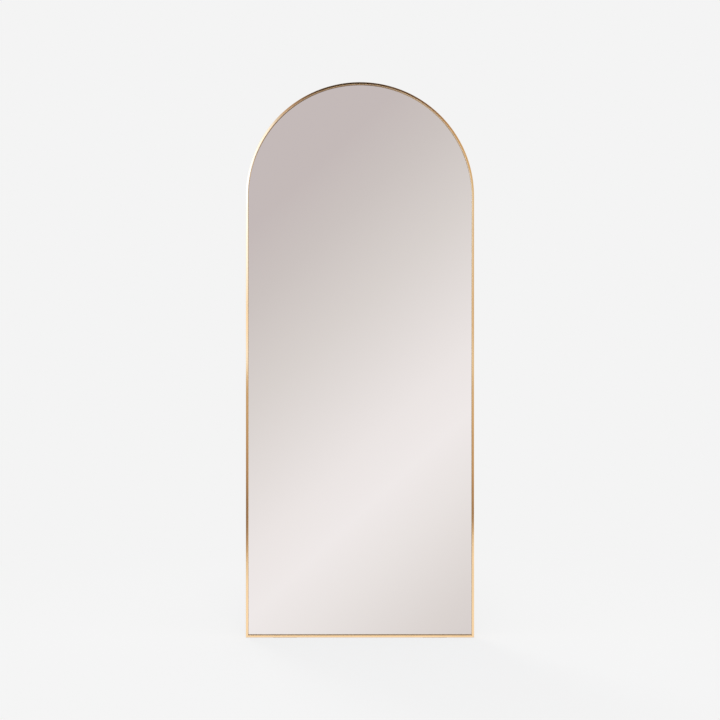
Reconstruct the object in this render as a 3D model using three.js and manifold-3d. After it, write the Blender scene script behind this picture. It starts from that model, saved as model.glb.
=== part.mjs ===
// Arched leaning floor mirror, in millimetres.
// +Z is up, +X is to the right of someone who looks into the glass, and +Y points to the wall behind.
// The origin is the middle of the footprint on the floor.
import * as THREE from "three";
import { mergeVertices } from "three/addons/utils/BufferGeometryUtils.js";
import Module from "manifold-3d";

// Frame outline
const frameWidth = 762;
const frameHeight = 1855;
const frameDepth = 30;

// Frame extrusion: an outer wall, a hollow nose in front and a flange at the rear
const wallThickness = 1.6;
const noseWidth = 7.4;
const noseDepth = 9;
const noseEdgeRadius = 0.7;
const flangeWidth = 12;
const mitreGap = 0.3;

// Layers between the nose and the flange, from front to rear
const tapeThickness = 0.8;
const glassThickness = 4;
const filmThickness = 0.3;
const foamThickness = 1.2;
const boardThickness = 5;
const tapeMargin = 0.5;
const filmMargin = 1;

// Setting blocks under the glass and the board
const glassEdgeClearance = 2;
const settingBlockLength = 60;
const settingBlockSideDistance = 151;

// Foam mounting strips
const foamStripWidth = 25;
const foamStripSideDistance = 161;
const foamStripBottom = 120;
const foamStripAboveSpring = 6;

// Corner keys in the nose, corner plates on the flange
const cornerKeyLeg = 45;
const cornerKeyClearance = 0.2;
const cornerPlateLeg = 50;
const cornerPlateWidth = 8.6;
const cornerPlateThickness = 2;
const cornerPlateClearance = 0.6;
const cornerScrewNear = 20;
const cornerScrewFar = 40;

// Screws
const screwRadius = 1.75;
const screwHoleClearance = 0.3;
const screwHeadRadius = 3.5;
const screwHeadHeight = 2.2;
const shortScrewLength = 6;
const woodScrewLength = 8;
const recessLength = 3.8;
const recessWidth = 0.9;
const recessDepth = 1.2;
const flangeScrewInset = 7;

// Spring-steel retaining clips
const clipThickness = 1.2;
const clipWidth = 18;
const clipOuterMargin = 3;
const clipFlangeClearance = 0.6;
const clipFootLength = 11;
const clipSideHeights = [420, 1000];
const clipBottomSideDistance = 191;
const clipArchAngles = [50, 130];

// Hanging rail, just below the spring line, where the arch leaves the straight sides
const railHeight = 62;
const railBelowSpring = 25;
const railEndClearance = 1;
const railScrewSpacing = 36;

// Hanger straps and their D-rings
const hangerSideDistance = 161;
const hangerDrop = 6;
const strapThickness = 1.2;
const strapWidth = 20;
const strapLength = 52;
const strapCornerRadius = 4;
const strapScrewDrops = [31, 44];
const ringWireRadius = 1.6;
const ringBarLength = 21;
const ringCornerRadius = 3.5;
const ringSideLength = 5;
const ringClearance = 0.3;
const knuckleEndAngle = -100;

// Rubber bumpers on the flange and pads under the frame
const bumperRadius = 5;
const bumperTipRadius = 4;
const bumperHeight = 5;
const bumperInset = 6.5;
const bumperSideHeight = 130;
const bumperArchAngles = [68, 112];
const padThickness = 1;
const padLength = 80;
const padDepthMargin = 1;
const padCornerRadius = 3;
const padSideDistance = 131;

// Smoothness
const archSteps = 72;
const bendSteps = 5;
const edgeSteps = 2;
const wireSides = 8;
const holeSides = 12;
const screwSides = 10;
const bumperSides = 16;
const cutMargin = 1;

// Places worked out from the sizes
const outerRadius = frameWidth / 2;
const baseZ = padThickness;
const springZ = baseZ + frameHeight - outerRadius;
const frontY = -(frameDepth + bumperHeight) / 2;
const rearY = frontY + frameDepth;
const noseRearY = frontY + noseDepth;
const glassFrontY = noseRearY + tapeThickness;
const glassRearY = glassFrontY + glassThickness;
const filmRearY = glassRearY + filmThickness;
const boardFrontY = filmRearY + foamThickness;
const boardRearY = boardFrontY + boardThickness;
const flangeFrontY = rearY - wallThickness;
const glassInset = wallThickness + glassEdgeClearance;
const settingBlockX = outerRadius - settingBlockSideDistance;
const foamStripX = outerRadius - foamStripSideDistance;
const clipBottomX = outerRadius - clipBottomSideDistance;
const padX = outerRadius - padSideDistance;
const hangerX = outerRadius - hangerSideDistance;
const foamStripTopZ = springZ + foamStripAboveSpring;
const railTopZ = springZ - railBelowSpring;
const railMiddleZ = railTopZ - railHeight / 2;
const hangerPivotZ = railTopZ - hangerDrop;
const knuckleRadius = ringWireRadius + ringClearance + strapThickness;
const hangerPivotY = flangeFrontY + knuckleRadius;

// Finishes
const brass = new THREE.MeshStandardMaterial({ color: 0xc9a468, roughness: 0.32, metalness: 1 });
const silvered = new THREE.MeshStandardMaterial({ color: 0xdfe2e1, roughness: 0.02, metalness: 1 });
const zinc = new THREE.MeshStandardMaterial({ color: 0xaeb1b3, roughness: 0.4, metalness: 1 });
const springSteel = new THREE.MeshStandardMaterial({ color: 0x7c7f83, roughness: 0.45, metalness: 1 });
const castKey = new THREE.MeshStandardMaterial({ color: 0x9a9c9e, roughness: 0.55, metalness: 1 });
const fibreboard = new THREE.MeshStandardMaterial({ color: 0x2b2724, roughness: 0.85, metalness: 0 });
const pine = new THREE.MeshStandardMaterial({ color: 0xc8a06c, roughness: 0.7, metalness: 0 });
const foam = new THREE.MeshStandardMaterial({ color: 0xe8e8e4, roughness: 0.95, metalness: 0 });
const filmPlastic = new THREE.MeshStandardMaterial({ color: 0xd6dadb, roughness: 0.5, metalness: 0 });
const blackTape = new THREE.MeshStandardMaterial({ color: 0x1d1d1d, roughness: 0.8, metalness: 0 });
const blackRubber = new THREE.MeshStandardMaterial({ color: 0x232323, roughness: 0.75, metalness: 0 });
const paleRubber = new THREE.MeshStandardMaterial({ color: 0xd4d4d1, roughness: 0.55, metalness: 0 });

const mirror = new THREE.Group();
const wasm = await Module();
wasm.setup();

function addPiece(name, geometry, material) {
  const piece = new THREE.Mesh(geometry, material);
  piece.name = name;
  mirror.add(piece);
  return piece;
}

// Places on the frame's outer edge, each with its direction into the frame

function leftSide(height) {
  return { x: -outerRadius, z: baseZ + height, inX: 1, inZ: 0 };
}

function rightSide(height) {
  return { x: outerRadius, z: baseZ + height, inX: -1, inZ: 0 };
}

function bottomEdge(offset) {
  return { x: offset, z: baseZ, inX: 0, inZ: 1 };
}

function archEdge(degrees) {
  const angle = THREE.MathUtils.degToRad(degrees);
  const cosine = Math.cos(angle);
  const sine = Math.sin(angle);
  return { x: outerRadius * cosine, z: springZ + outerRadius * sine, inX: -cosine, inZ: -sine };
}

function insetPoint(place, inset) {
  return { x: place.x + place.inX * inset, z: place.z + place.inZ * inset };
}

// Solids for cuts and joins

function solidFrom(geometry) {
  const bare = geometry.clone();
  bare.deleteAttribute("normal");
  bare.deleteAttribute("uv");
  const merged = mergeVertices(bare);
  const vertProperties = merged.attributes.position.array;
  const triVerts = new Uint32Array(merged.index.array);
  return new wasm.Manifold(new wasm.Mesh({ numProp: 3, vertProperties, triVerts }));
}

function geometryFrom(solid) {
  const { vertProperties, triVerts } = solid.getMesh();
  const indexed = new THREE.BufferGeometry();
  indexed.setAttribute("position", new THREE.BufferAttribute(vertProperties, 3));
  indexed.setIndex(new THREE.BufferAttribute(triVerts, 1));
  const faceted = indexed.toNonIndexed();
  faceted.computeVertexNormals();
  return faceted;
}

// Screw holes run along Y, from one depth to another.
function drilled(geometry, points, fromY, toY) {
  let solid = solidFrom(geometry);
  for (const point of points) {
    const radius = screwRadius + screwHoleClearance;
    const drill = new THREE.CylinderGeometry(radius, radius, toY - fromY + 2 * cutMargin, holeSides);
    drill.translate(point.x, (fromY + toY) / 2, point.z);
    solid = solid.subtract(solidFrom(drill));
  }
  return geometryFrom(solid);
}

// A flat plate with its outline in the front view, between two depths.
function plate(outline, plateFrontY, plateRearY) {
  const curveSegments = archSteps / 2;
  const geometry = new THREE.ExtrudeGeometry(outline, { depth: 1, bevelEnabled: false, curveSegments });
  return laidToDepth(geometry, plateFrontY, plateRearY);
}

// Turns an extrusion of unit depth upright, with its two faces exactly on the given depths.
function laidToDepth(geometry, plateFrontY, plateRearY) {
  const position = geometry.attributes.position;
  for (let i = 0; i < position.count; i += 1) {
    const depth = position.getZ(i) < 0.5 ? plateRearY : plateFrontY;
    position.setXYZ(i, position.getX(i), depth, position.getY(i));
  }
  geometry.computeVertexNormals();
  return geometry;
}

function rectangle(left, right, bottom, top) {
  const outline = new THREE.Shape();
  outline.moveTo(left, bottom);
  outline.lineTo(right, bottom);
  outline.lineTo(right, top);
  outline.lineTo(left, top);
  outline.closePath();
  return outline;
}

// The mirror's own outline, moved inwards from the frame's outer edge.
function archOutline(inset) {
  const radius = outerRadius - inset;
  const outline = new THREE.Shape();
  outline.moveTo(-radius, baseZ + inset);
  outline.lineTo(radius, baseZ + inset);
  outline.absarc(0, springZ, radius, 0, Math.PI, false);
  outline.closePath();
  return outline;
}

// An L along the side and the bottom of one corner; turn is -1 at the left and 1 at the right.
function cornerOutline(turn, inset, width, leg) {
  const steps = [
    [inset, inset],
    [inset + leg, inset],
    [inset + leg, inset + width],
    [inset + width, inset + width],
    [inset + width, inset + leg],
    [inset, inset + leg],
  ];
  const points = steps.map(([across, up]) => new THREE.Vector2(turn * (outerRadius - across), baseZ + up));
  return new THREE.Shape(points);
}

// Sweeps closed loops, drawn as inset and depth, along stations in the front view.
function sweep(stations, loops, isRing) {
  const section = loops.flat();
  const positions = [];
  for (const station of stations) {
    for (const point of section) {
      const { x, z } = insetPoint(station, point.x);
      positions.push(x, point.y, z);
    }
  }
  const indices = [];
  const spans = isRing ? stations.length : stations.length - 1;
  for (let span = 0; span < spans; span += 1) {
    const here = span * section.length;
    const next = ((span + 1) % stations.length) * section.length;
    let first = 0;
    for (const loop of loops) {
      for (let i = 0; i < loop.length; i += 1) {
        const a = first + i;
        const b = first + ((i + 1) % loop.length);
        indices.push(here + a, here + b, next + b);
        indices.push(here + a, next + b, next + a);
      }
      first += loop.length;
    }
  }
  if (!isRing) {
    const last = (stations.length - 1) * section.length;
    for (const [a, b, c] of THREE.ShapeUtils.triangulateShape(loops[0], loops.slice(1))) {
      indices.push(c, b, a);
      indices.push(last + a, last + b, last + c);
    }
  }
  const indexed = new THREE.BufferGeometry();
  indexed.setAttribute("position", new THREE.Float32BufferAttribute(positions, 3));
  indexed.setIndex(indices);
  const faceted = indexed.toNonIndexed();
  faceted.computeVertexNormals();
  return faceted;
}

// Frame

function roundedEdge(insetCentre, depthCentre, fromDegrees) {
  const points = [];
  for (let i = 0; i <= edgeSteps; i += 1) {
    const angle = THREE.MathUtils.degToRad(fromDegrees + (90 * i) / edgeSteps);
    const inset = insetCentre + noseEdgeRadius * Math.cos(angle);
    points.push(new THREE.Vector2(inset, depthCentre + noseEdgeRadius * Math.sin(angle)));
  }
  return points;
}

function frameSection() {
  const edgeY = frontY + noseEdgeRadius;
  const outline = [
    ...roundedEdge(noseEdgeRadius, edgeY, 180),
    ...roundedEdge(noseWidth - noseEdgeRadius, edgeY, 270),
    new THREE.Vector2(noseWidth, noseRearY),
    new THREE.Vector2(wallThickness, noseRearY),
    new THREE.Vector2(wallThickness, flangeFrontY),
    new THREE.Vector2(flangeWidth, flangeFrontY),
    new THREE.Vector2(flangeWidth, rearY),
    new THREE.Vector2(0, rearY),
  ];
  const chamber = [
    new THREE.Vector2(wallThickness, frontY + wallThickness),
    new THREE.Vector2(wallThickness, noseRearY - wallThickness),
    new THREE.Vector2(noseWidth - wallThickness, noseRearY - wallThickness),
    new THREE.Vector2(noseWidth - wallThickness, frontY + wallThickness),
  ];
  return [outline, chamber];
}

function mitreStation(turn, sideways, upward) {
  return { x: turn * (outerRadius - sideways), z: baseZ + upward, inX: -turn, inZ: 1 };
}

function makeFrameArch() {
  const stations = [mitreStation(-1, 0, mitreGap)];
  for (let i = 0; i <= archSteps; i += 1) {
    stations.push(archEdge(180 - (180 * i) / archSteps));
  }
  stations.push(mitreStation(1, 0, mitreGap));
  const member = sweep(stations, frameSection(), false);
  const holes = [...clipPlaces(), ...railScrewPlaces(), ...cornerSidePlaces()]
    .filter((place) => place.inZ !== 1)
    .map((place) => insetPoint(place, flangeScrewInset));
  addPiece("frame_arch", drilled(member, holes, flangeFrontY, rearY), brass);
}

function makeBottomRail() {
  const stations = [mitreStation(1, mitreGap, 0), mitreStation(-1, mitreGap, 0)];
  const member = sweep(stations, frameSection(), false);
  const holes = [...clipPlaces(), ...cornerBottomPlaces()]
    .filter((place) => place.inZ === 1)
    .map((place) => insetPoint(place, flangeScrewInset));
  addPiece("frame_bottom_rail", drilled(member, holes, flangeFrontY, rearY), brass);
}

// Corner joints

function cornerSidePlaces() {
  return [cornerScrewNear, cornerScrewFar].flatMap((height) => [leftSide(height), rightSide(height)]);
}

function cornerBottomPlaces() {
  const offsets = [cornerScrewNear, cornerScrewFar].map((along) => outerRadius - along);
  return offsets.flatMap((offset) => [bottomEdge(-offset), bottomEdge(offset)]);
}

function makeCorners() {
  const keyInset = wallThickness + cornerKeyClearance;
  const keyWidth = noseWidth - 2 * keyInset;
  const keyFrontY = frontY + keyInset;
  const keyRearY = noseRearY - keyInset;
  const plateInset = wallThickness + cornerPlateClearance;
  const plateFrontY = flangeFrontY - cornerPlateThickness;
  const screws = [...cornerSidePlaces(), ...cornerBottomPlaces()];
  const holes = screws.map((place) => insetPoint(place, flangeScrewInset));
  for (const [side, turn] of [["left", -1], ["right", 1]]) {
    const keyOutline = cornerOutline(turn, keyInset, keyWidth, cornerKeyLeg);
    addPiece(`corner_key_${side}`, plate(keyOutline, keyFrontY, keyRearY), castKey);
    const plateOutline = cornerOutline(turn, plateInset, cornerPlateWidth, cornerPlateLeg);
    const blank = plate(plateOutline, plateFrontY, flangeFrontY);
    const own = holes.filter((point) => point.x * turn > 0);
    addPiece(`corner_plate_${side}`, drilled(blank, own, plateFrontY, flangeFrontY), zinc);
    own.forEach((point, i) => addScrew(`corner_screw_${side}_${i + 1}`, point, rearY, shortScrewLength));
  }
}

// Screws

// A pan head with a cross recess, on a plain shank with a point; its seat is at y = 0, its head at +Y.
function screwGeometry(length) {
  const profile = [
    new THREE.Vector2(0, -length),
    new THREE.Vector2(screwRadius, 2 * screwRadius - length),
    new THREE.Vector2(screwRadius, 0),
    new THREE.Vector2(screwHeadRadius, 0),
    new THREE.Vector2(screwHeadRadius, screwHeadHeight / 2),
    new THREE.Vector2(recessLength / 2 + recessWidth / 2, screwHeadHeight),
    new THREE.Vector2(0, screwHeadHeight),
  ];
  let solid = solidFrom(new THREE.LatheGeometry(profile, screwSides));
  for (const [across, along] of [[recessLength, recessWidth], [recessWidth, recessLength]]) {
    const slot = new THREE.BoxGeometry(across, 2 * recessDepth, along);
    slot.translate(0, screwHeadHeight, 0);
    solid = solid.subtract(solidFrom(slot));
  }
  return geometryFrom(solid);
}

const screwShapes = new Map([shortScrewLength, woodScrewLength].map((length) => [length, screwGeometry(length)]));

function addScrew(name, point, seatY, length) {
  const screw = addPiece(name, screwShapes.get(length), zinc);
  screw.position.set(point.x, seatY, point.z);
}

// Glass and its layers

function makeGlazing() {
  const tape = archOutline(glassInset + tapeMargin);
  tape.holes.push(archOutline(noseWidth - tapeMargin));
  addPiece("glazing_tape", plate(tape, noseRearY, glassFrontY), blackTape);
  addPiece("mirror_glass", plate(archOutline(glassInset), glassFrontY, glassRearY), silvered);
  addPiece("safety_film", plate(archOutline(glassInset + filmMargin), glassRearY, filmRearY), filmPlastic);
  addPiece("backing_board", plate(archOutline(glassInset), boardFrontY, boardRearY), fibreboard);
}

function makeFoamStrips() {
  for (const [side, turn] of [["left", -1], ["centre", 0], ["right", 1]]) {
    const middle = turn * foamStripX;
    const left = middle - foamStripWidth / 2;
    const right = middle + foamStripWidth / 2;
    const outline = rectangle(left, right, baseZ + foamStripBottom, foamStripTopZ);
    addPiece(`foam_strip_${side}`, plate(outline, filmRearY, boardFrontY), foam);
  }
}

function makeSettingBlocks() {
  for (const [side, turn] of [["left", -1], ["right", 1]]) {
    const left = turn * settingBlockX - settingBlockLength / 2;
    const right = left + settingBlockLength;
    const outline = rectangle(left, right, baseZ + wallThickness, baseZ + glassInset);
    addPiece(`setting_block_${side}`, plate(outline, glassFrontY, boardRearY), blackRubber);
  }
}

// Retaining clips

function clipPlaces() {
  return [
    ...clipSideHeights.map(leftSide),
    ...clipSideHeights.map(rightSide),
    bottomEdge(-clipBottomX),
    bottomEdge(clipBottomX),
    ...clipArchAngles.map(archEdge),
  ];
}

// A Z of strip steel: one foot on the flange's rear face, one on the board.
function clipGeometry() {
  const bend = flangeWidth + clipFlangeClearance;
  const profile = new THREE.Shape([
    new THREE.Vector2(clipOuterMargin, rearY),
    new THREE.Vector2(bend, rearY),
    new THREE.Vector2(bend, boardRearY),
    new THREE.Vector2(bend + clipFootLength, boardRearY),
    new THREE.Vector2(bend + clipFootLength, boardRearY + clipThickness),
    new THREE.Vector2(bend + clipThickness, boardRearY + clipThickness),
    new THREE.Vector2(bend + clipThickness, rearY + clipThickness),
    new THREE.Vector2(clipOuterMargin, rearY + clipThickness),
  ]);
  const geometry = new THREE.ExtrudeGeometry(profile, { depth: clipWidth, bevelEnabled: false });
  geometry.translate(0, 0, -clipWidth / 2);
  return drilled(geometry, [{ x: flangeScrewInset, z: 0 }], rearY, rearY + clipThickness);
}

function makeClips() {
  const geometry = clipGeometry();
  clipPlaces().forEach((place, i) => {
    const clip = addPiece(`retaining_clip_${i + 1}`, geometry, springSteel);
    clip.position.set(place.x, 0, place.z);
    clip.rotation.y = Math.atan2(-place.inZ, place.inX);
    const point = insetPoint(place, flangeScrewInset);
    addScrew(`clip_screw_${i + 1}`, point, rearY + clipThickness, shortScrewLength);
  });
}

// Hanging rail

function railScrewPlaces() {
  const heights = [-1, 1].map((turn) => railMiddleZ - baseZ + (turn * railScrewSpacing) / 2);
  return [...heights.map(leftSide), ...heights.map(rightSide)];
}

function strapScrewPoints(middle) {
  return strapScrewDrops.map((drop) => ({ x: middle, z: hangerPivotZ - drop }));
}

function makeHangingRail() {
  const halfLength = outerRadius - wallThickness - railEndClearance;
  const outline = rectangle(-halfLength, halfLength, railTopZ - railHeight, railTopZ);
  const blank = plate(outline, boardRearY, flangeFrontY);
  const ends = railScrewPlaces().map((place) => insetPoint(place, flangeScrewInset));
  const holes = [...ends, ...strapScrewPoints(-hangerX), ...strapScrewPoints(hangerX)];
  addPiece("hanging_rail", drilled(blank, holes, boardRearY, flangeFrontY), pine);
  const names = ["left_lower", "left_upper", "right_lower", "right_upper"];
  ends.forEach((point, i) => addScrew(`rail_screw_${names[i]}`, point, rearY, woodScrewLength));
}

// Hanger straps

function arcPoints(centreX, centreY, radius, fromDegrees, toDegrees, steps) {
  const points = [];
  for (let i = 0; i <= steps; i += 1) {
    const angle = THREE.MathUtils.degToRad(fromDegrees + ((toDegrees - fromDegrees) * i) / steps);
    points.push(new THREE.Vector2(centreX + radius * Math.cos(angle), centreY + radius * Math.sin(angle)));
  }
  return points;
}

// The strap's top, rolled round the ring's bar; drawn as depth and height, then extruded along X.
function knuckleGeometry() {
  const steps = 2 * bendSteps;
  const innerRadius = knuckleRadius - strapThickness;
  const profile = new THREE.Shape([
    new THREE.Vector2(flangeFrontY, hangerPivotZ - knuckleRadius),
    ...arcPoints(hangerPivotY, hangerPivotZ, knuckleRadius, 180, knuckleEndAngle, steps),
    ...arcPoints(hangerPivotY, hangerPivotZ, innerRadius, knuckleEndAngle, 180, steps),
    new THREE.Vector2(flangeFrontY + strapThickness, hangerPivotZ - knuckleRadius),
  ]);
  const geometry = new THREE.ExtrudeGeometry(profile, { depth: strapWidth, bevelEnabled: false });
  const position = geometry.attributes.position;
  for (let i = 0; i < position.count; i += 1) {
    position.setXYZ(i, position.getZ(i) - strapWidth / 2, position.getX(i), position.getY(i));
  }
  return geometry;
}

function strapLeafGeometry() {
  const half = strapWidth / 2;
  const bottom = hangerPivotZ - strapLength;
  const outline = new THREE.Shape([
    ...arcPoints(half - strapCornerRadius, bottom + strapCornerRadius, strapCornerRadius, -90, 0, bendSteps),
    new THREE.Vector2(half, hangerPivotZ),
    new THREE.Vector2(-half, hangerPivotZ),
    ...arcPoints(-half + strapCornerRadius, bottom + strapCornerRadius, strapCornerRadius, 180, 270, bendSteps),
  ]);
  return plate(outline, flangeFrontY, flangeFrontY + strapThickness);
}

function makeHangers() {
  const strap = geometryFrom(solidFrom(strapLeafGeometry()).add(solidFrom(knuckleGeometry())));
  const strapFaceY = flangeFrontY + strapThickness;
  const bored = drilled(strap, strapScrewPoints(0), flangeFrontY, strapFaceY);
  const ring = ringGeometry();
  for (const [side, turn] of [["left", -1], ["right", 1]]) {
    const middle = turn * hangerX;
    addPiece(`hanger_strap_${side}`, bored, zinc).position.x = middle;
    addPiece(`hanger_ring_${side}`, ring, zinc).position.set(middle, hangerPivotY, hangerPivotZ);
    strapScrewPoints(middle).forEach((point, i) => {
      addScrew(`hanger_screw_${side}_${["upper", "lower"][i]}`, point, strapFaceY, woodScrewLength);
    });
  }
}

// A D of round wire that hangs from its straight bar, which lies on the X axis.
function ringGeometry() {
  const half = ringBarLength / 2;
  const bowRadius = half + ringCornerRadius;
  const path = [
    ...arcPoints(half, -ringCornerRadius, ringCornerRadius, 90, 0, bendSteps),
    ...arcPoints(0, -ringCornerRadius - ringSideLength, bowRadius, 0, -180, 3 * bendSteps),
    ...arcPoints(-half, -ringCornerRadius, ringCornerRadius, 180, 90, bendSteps),
  ];
  const stations = path.map((point, i) => {
    const before = path[(i + path.length - 1) % path.length];
    const after = path[(i + 1) % path.length];
    const along = new THREE.Vector2().subVectors(after, before).normalize();
    return { x: point.x, z: point.y, inX: along.y, inZ: -along.x };
  });
  const wire = arcPoints(0, 0, ringWireRadius, 0, 360, wireSides).slice(0, wireSides);
  return sweep(stations, [wire], true);
}

// Rubber

function makeBumpers() {
  const profile = [
    new THREE.Vector2(0, 0),
    new THREE.Vector2(bumperRadius, 0),
    new THREE.Vector2(bumperRadius, bumperHeight - (bumperRadius - bumperTipRadius)),
    new THREE.Vector2(bumperTipRadius, bumperHeight),
    new THREE.Vector2(0, bumperHeight),
  ];
  const geometry = new THREE.LatheGeometry(profile, bumperSides);
  const places = [leftSide(bumperSideHeight), rightSide(bumperSideHeight), ...bumperArchAngles.map(archEdge)];
  const names = ["lower_left", "lower_right", "upper_right", "upper_left"];
  places.forEach((place, i) => {
    const { x, z } = insetPoint(place, bumperInset);
    addPiece(`wall_bumper_${names[i]}`, geometry, paleRubber).position.set(x, rearY, z);
  });
}

function makeFloorPads() {
  const halfLength = padLength / 2;
  const halfDepth = frameDepth / 2 - padDepthMargin;
  const outline = new THREE.Shape([
    ...arcPoints(halfLength - padCornerRadius, padCornerRadius - halfDepth, padCornerRadius, -90, 0, bendSteps),
    ...arcPoints(halfLength - padCornerRadius, halfDepth - padCornerRadius, padCornerRadius, 0, 90, bendSteps),
    ...arcPoints(padCornerRadius - halfLength, halfDepth - padCornerRadius, padCornerRadius, 90, 180, bendSteps),
    ...arcPoints(padCornerRadius - halfLength, padCornerRadius - halfDepth, padCornerRadius, 180, 270, bendSteps),
  ]);
  const geometry = new THREE.ExtrudeGeometry(outline, { depth: padThickness, bevelEnabled: false });
  for (const [side, turn] of [["left", -1], ["right", 1]]) {
    const pad = addPiece(`floor_pad_${side}`, geometry, paleRubber);
    pad.position.set(turn * padX, frontY + frameDepth / 2, 0);
  }
}

makeFrameArch();
makeBottomRail();
makeCorners();
makeGlazing();
makeFoamStrips();
makeSettingBlocks();
makeClips();
makeHangingRail();
makeHangers();
makeBumpers();
makeFloorPads();

export default mirror;
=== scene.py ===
# Arched leaning floor mirror in a slim brushed brass frame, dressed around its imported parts.
# Metres, +Z up; the glass faces -Y and the wall is on the +Y side.
import math
import random

import bmesh
import bpy
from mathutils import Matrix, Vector
from mathutils.geometry import tessellate_polygon


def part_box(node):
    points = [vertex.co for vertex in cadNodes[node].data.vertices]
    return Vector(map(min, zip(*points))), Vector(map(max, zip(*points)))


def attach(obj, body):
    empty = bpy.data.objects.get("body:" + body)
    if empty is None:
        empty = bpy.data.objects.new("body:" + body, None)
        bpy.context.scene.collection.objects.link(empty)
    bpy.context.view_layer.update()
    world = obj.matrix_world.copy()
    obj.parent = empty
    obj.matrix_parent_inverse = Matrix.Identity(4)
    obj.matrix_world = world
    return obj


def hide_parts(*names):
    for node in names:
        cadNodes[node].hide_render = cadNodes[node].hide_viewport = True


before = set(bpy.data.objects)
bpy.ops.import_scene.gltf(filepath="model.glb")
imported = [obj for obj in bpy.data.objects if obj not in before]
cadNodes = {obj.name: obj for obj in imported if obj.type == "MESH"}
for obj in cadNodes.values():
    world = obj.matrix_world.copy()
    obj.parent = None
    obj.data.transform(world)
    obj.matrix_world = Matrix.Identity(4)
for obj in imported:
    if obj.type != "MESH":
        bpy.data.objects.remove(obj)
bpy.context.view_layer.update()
scene = bpy.context.scene
chance = random.Random(11)
print("packed parts:", len(cadNodes))

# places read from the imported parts
archLow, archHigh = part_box("frame_arch")
railLow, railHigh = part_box("frame_bottom_rail")
outerRadius = archHigh.x
springZ = archHigh.z - outerRadius
baseZ = railLow.z
frontY = archLow.y
rearY = archHigh.y
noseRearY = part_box("glazing_tape")[0].y
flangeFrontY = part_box("hanging_rail")[1].y
flangeWidth = railHigh.z - baseZ
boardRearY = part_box("backing_board")[1].y
middleZ = (baseZ + archHigh.z) / 2


# mesh helpers

def newPiece(name, mesh):
    piece = bpy.data.objects.new(name, mesh)
    scene.collection.objects.link(piece)
    return piece


def smoothFaces(mesh, sharpDegrees=32):
    mesh.polygons.foreach_set("use_smooth", [True] * len(mesh.polygons))
    mesh.set_sharp_from_angle(angle=math.radians(sharpDegrees))


def meshFrom(name, built):
    bmesh.ops.recalc_face_normals(built, faces=built.faces)
    mesh = bpy.data.meshes.new(name)
    built.to_mesh(mesh)
    built.free()
    smoothFaces(mesh)
    return mesh


def arc(centreA, centreB, radius, fromDegrees, toDegrees, steps):
    points = []
    for i in range(steps + 1):
        angle = math.radians(fromDegrees + (toDegrees - fromDegrees) * i / steps)
        points.append((centreA + radius * math.cos(angle), centreB + radius * math.sin(angle)))
    return points


# Sweeps closed loops of (inset, depth) along stations of (point, inward direction, distance so far).
def sweptMesh(name, stations, loops, ringLength=None):
    built = bmesh.new()
    lengthwise = built.loops.layers.uv.new("lengthwise")
    section = [point for loop in loops for point in loop]
    rows = []
    for place, inward, _ in stations:
        rows.append([
            built.verts.new(place + inward * inset + Vector((0, depth, 0)))
            for inset, depth in section
        ])
    for span in range(len(rows) - (ringLength is None)):
        after = (span + 1) % len(rows)
        here, there = stations[span][2], stations[after][2] if after else ringLength
        first = 0
        for loop in loops:
            around = 0
            for i in range(len(loop)):
                a, b = first + i, first + (i + 1) % len(loop)
                onward = around + math.dist(section[a], section[b])
                face = built.faces.new((rows[span][a], rows[span][b], rows[after][b], rows[after][a]))
                spots = ((here, around), (here, onward), (there, onward), (there, around))
                for corner, uv in zip(face.loops, spots):
                    corner[lengthwise].uv = uv
                around = onward
            first += len(loop)
    if ringLength is None:
        flat = [[Vector((inset, depth, 0)) for inset, depth in loop] for loop in loops]
        for a, b, c in tessellate_polygon(flat):
            built.faces.new((rows[0][a], rows[0][b], rows[0][c]))
            built.faces.new((rows[-1][a], rows[-1][b], rows[-1][c]))
    return meshFrom(name, built)


# Turns a profile of (radius, height) round the Y axis.
def turnedMesh(name, profile, sides):
    built = bmesh.new()
    rows = []
    for radius, height in profile:
        if radius == 0:
            rows.append([built.verts.new((0, height, 0))] * sides)
        else:
            turns = [2 * math.pi * i / sides for i in range(sides)]
            rows.append([
                built.verts.new((radius * math.cos(turn), height, radius * math.sin(turn)))
                for turn in turns
            ])
    for low, high in zip(rows, rows[1:]):
        for i in range(sides):
            j = (i + 1) % sides
            corners = list(dict.fromkeys((low[i], low[j], high[j], high[i])))
            built.faces.new(corners)
    return meshFrom(name, built)


# A bent strip of sheet metal. Its rows are (middle point, direction through the sheet, half width);
# the width runs along the given direction.
def stripMesh(name, rows, across, thickness):
    built = bmesh.new()
    rings = []
    corners = ((-1, -1), (1, -1), (1, 1), (-1, 1))
    for middle, through, half in rows:
        rings.append([
            built.verts.new(middle + across * half * a + through * thickness / 2 * b)
            for a, b in corners
        ])
    for here, after in zip(rings, rings[1:]):
        for i in range(4):
            built.faces.new((here[i], here[(i + 1) % 4], after[(i + 1) % 4], after[i]))
    built.faces.new(rings[0])
    built.faces.new(rings[-1])
    return meshFrom(name, built)


def withModifier(piece, kind, **settings):
    modifier = piece.modifiers.new(kind.lower(), kind)
    for key, value in settings.items():
        setattr(modifier, key, value)


def easedEdges(piece, width, segments=2, degrees=40):
    withModifier(piece, "BEVEL", width=width, segments=segments, limit_method="ANGLE",
                 angle_limit=math.radians(degrees), harden_normals=True)


# Cuts a shape out of a piece and keeps the result as its own mesh.
def cutOut(piece, shape):
    cutter = newPiece("cutter", shape)
    withModifier(piece, "BOOLEAN", object=cutter, operation="DIFFERENCE", solver="EXACT")
    bpy.context.view_layer.update()
    cut = bpy.data.meshes.new_from_object(piece.evaluated_get(bpy.context.evaluated_depsgraph_get()))
    bpy.data.objects.remove(cutter)
    piece.modifiers.clear()
    piece.data = cut
    smoothFaces(cut)


# node helpers

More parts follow.
